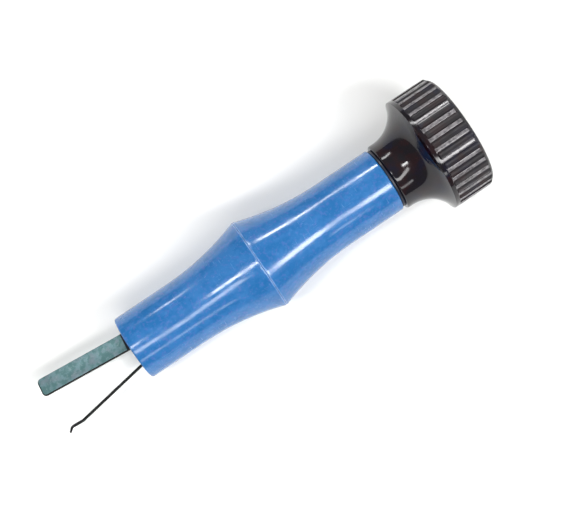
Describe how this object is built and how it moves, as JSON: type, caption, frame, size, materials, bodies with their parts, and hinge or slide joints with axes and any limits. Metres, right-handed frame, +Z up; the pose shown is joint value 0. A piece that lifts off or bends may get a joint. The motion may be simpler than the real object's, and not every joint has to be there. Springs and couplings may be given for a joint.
{
  "type": "spudger tool",
  "caption": "Round clamp handle with a flared grip and fluted rear knob, holding a flat prying blade and a hooked wire probe in its nose.",
  "frame": {"origin": "centre of the bounding box's base, on the surface that the tool lies on", "axes": "+X along the tool from the blade to the knob, +Z up; the tool's own axis rises 3.88 degrees towards the knob, because it rests on its ridge and on the knob's rim"},
  "size_m": [0.1247, 0.0316, 0.0322],
  "materials": {
    "blue_moulding": "semi-gloss blue moulded plastic",
    "black_phenolic": "polished black phenolic",
    "dark_washer": "satin dark thermoplastic",
    "sleeve_steel": "turned steel",
    "collet_steel": "hardened steel, ground taper",
    "bar_steel": "bright drawn steel",
    "pin_steel": "ground pin",
    "spring_steel": "spring wire",
    "bush_brass": "turned brass",
    "blade_steel": "satin ground blade steel, dark edges",
    "probe_wire": "blackened spring wire"
  },
  "bodies": {
    "handle": {"front_handle": "blue_moulding", "rear_handle": "blue_moulding", "nose_sleeve": "sleeve_steel", "guide_bush": "bush_brass", "key_pin": "pin_steel", "rear_bush": "bush_brass", "thrust_washer": "dark_washer"},
    "draw": {"collet": "collet_steel", "collet_pin": "pin_steel", "draw_bar": "bar_steel", "return_spring": "spring_steel"},
    "knob": {"knob": "black_phenolic", "knob_insert": "bush_brass"},
    "blade": {"blade": "blade_steel"},
    "probe": {"hook_probe": "probe_wire"}
  },
  "joints": [
    {"name": "knob_turn", "type": "hinge", "parent": "handle", "child": "knob", "pos_m": [0.03949, 0, 0.01503], "axis": [0.9977, 0, 0.0677], "range_deg": [0, 720]},
    {"name": "draw_slide", "type": "slide", "parent": "handle", "child": "draw", "axis": [-0.9977, 0, -0.0677], "range_m": [0, 0.0014], "deforming": ["return_spring"]},
    {"name": "blade_slide", "type": "slide", "parent": "draw", "child": "blade", "axis": [-0.9927, 0.0853, -0.0855], "range_m": [0, 0.01]},
    {"name": "probe_slide", "type": "slide", "parent": "draw", "child": "probe", "axis": [-0.985, -0.1699, -0.0307], "range_m": [0, 0.01]}
  ],
  "couplings": [
    {"joint": "draw_slide", "follows": "knob_turn", "m_per_rad": 0.0001114}
  ]
}
